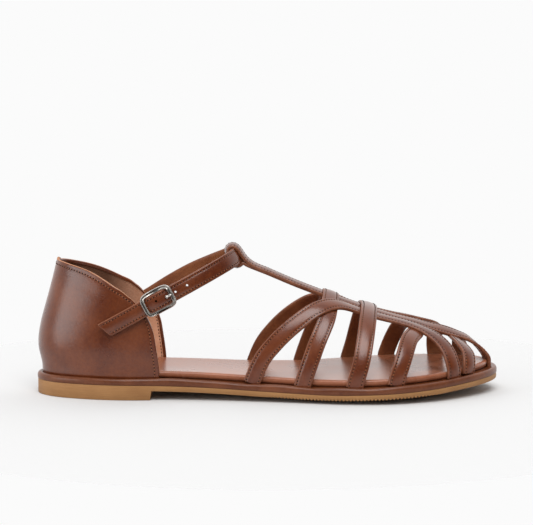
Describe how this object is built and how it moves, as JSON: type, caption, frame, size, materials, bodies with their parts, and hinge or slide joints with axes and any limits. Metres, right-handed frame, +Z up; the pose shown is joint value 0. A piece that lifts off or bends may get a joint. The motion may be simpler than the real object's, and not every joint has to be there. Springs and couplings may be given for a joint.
{
  "type": "strappy sandal",
  "caption": "Flat caged T-strap sandal for a right foot: closed heel counter, woven forefoot straps, ankle strap with a centre-bar buckle, low-heeled rubber sole.",
  "frame": {"origin": "middle of the bounding box at floor level, under the sole", "axes": "+X towards the toe, +Y towards the inner side of the foot, +Z up from the floor"},
  "size_m": [0.254, 0.097, 0.0818],
  "materials": {
    "outsole_rubber": "moulded tan rubber, satin",
    "midsole_leather": "brown wrapped leather, satin",
    "insole_leather": "brown footbed leather, matte",
    "counter_leather": "brown smooth calf leather, satin",
    "strap_leather": "brown smooth calf leather, satin",
    "ankle_strap_leather": "brown smooth calf leather, satin",
    "tab_leather": "brown smooth calf leather, satin",
    "buckle_nickel": "antique nickel, worn satin",
    "prong_nickel": "antique nickel, worn satin"
  },
  "bodies": {
    "root": {"outsole": "outsole_rubber", "midsole": "midsole_leather", "insole": "insole_leather", "heel_counter": "counter_leather", "strap_cage": "strap_leather", "ankle_strap": "ankle_strap_leather", "buckle_tab": "tab_leather", "buckle_frame": "buckle_nickel", "buckle_prong": "prong_nickel"}
  },
  "joints": []
}
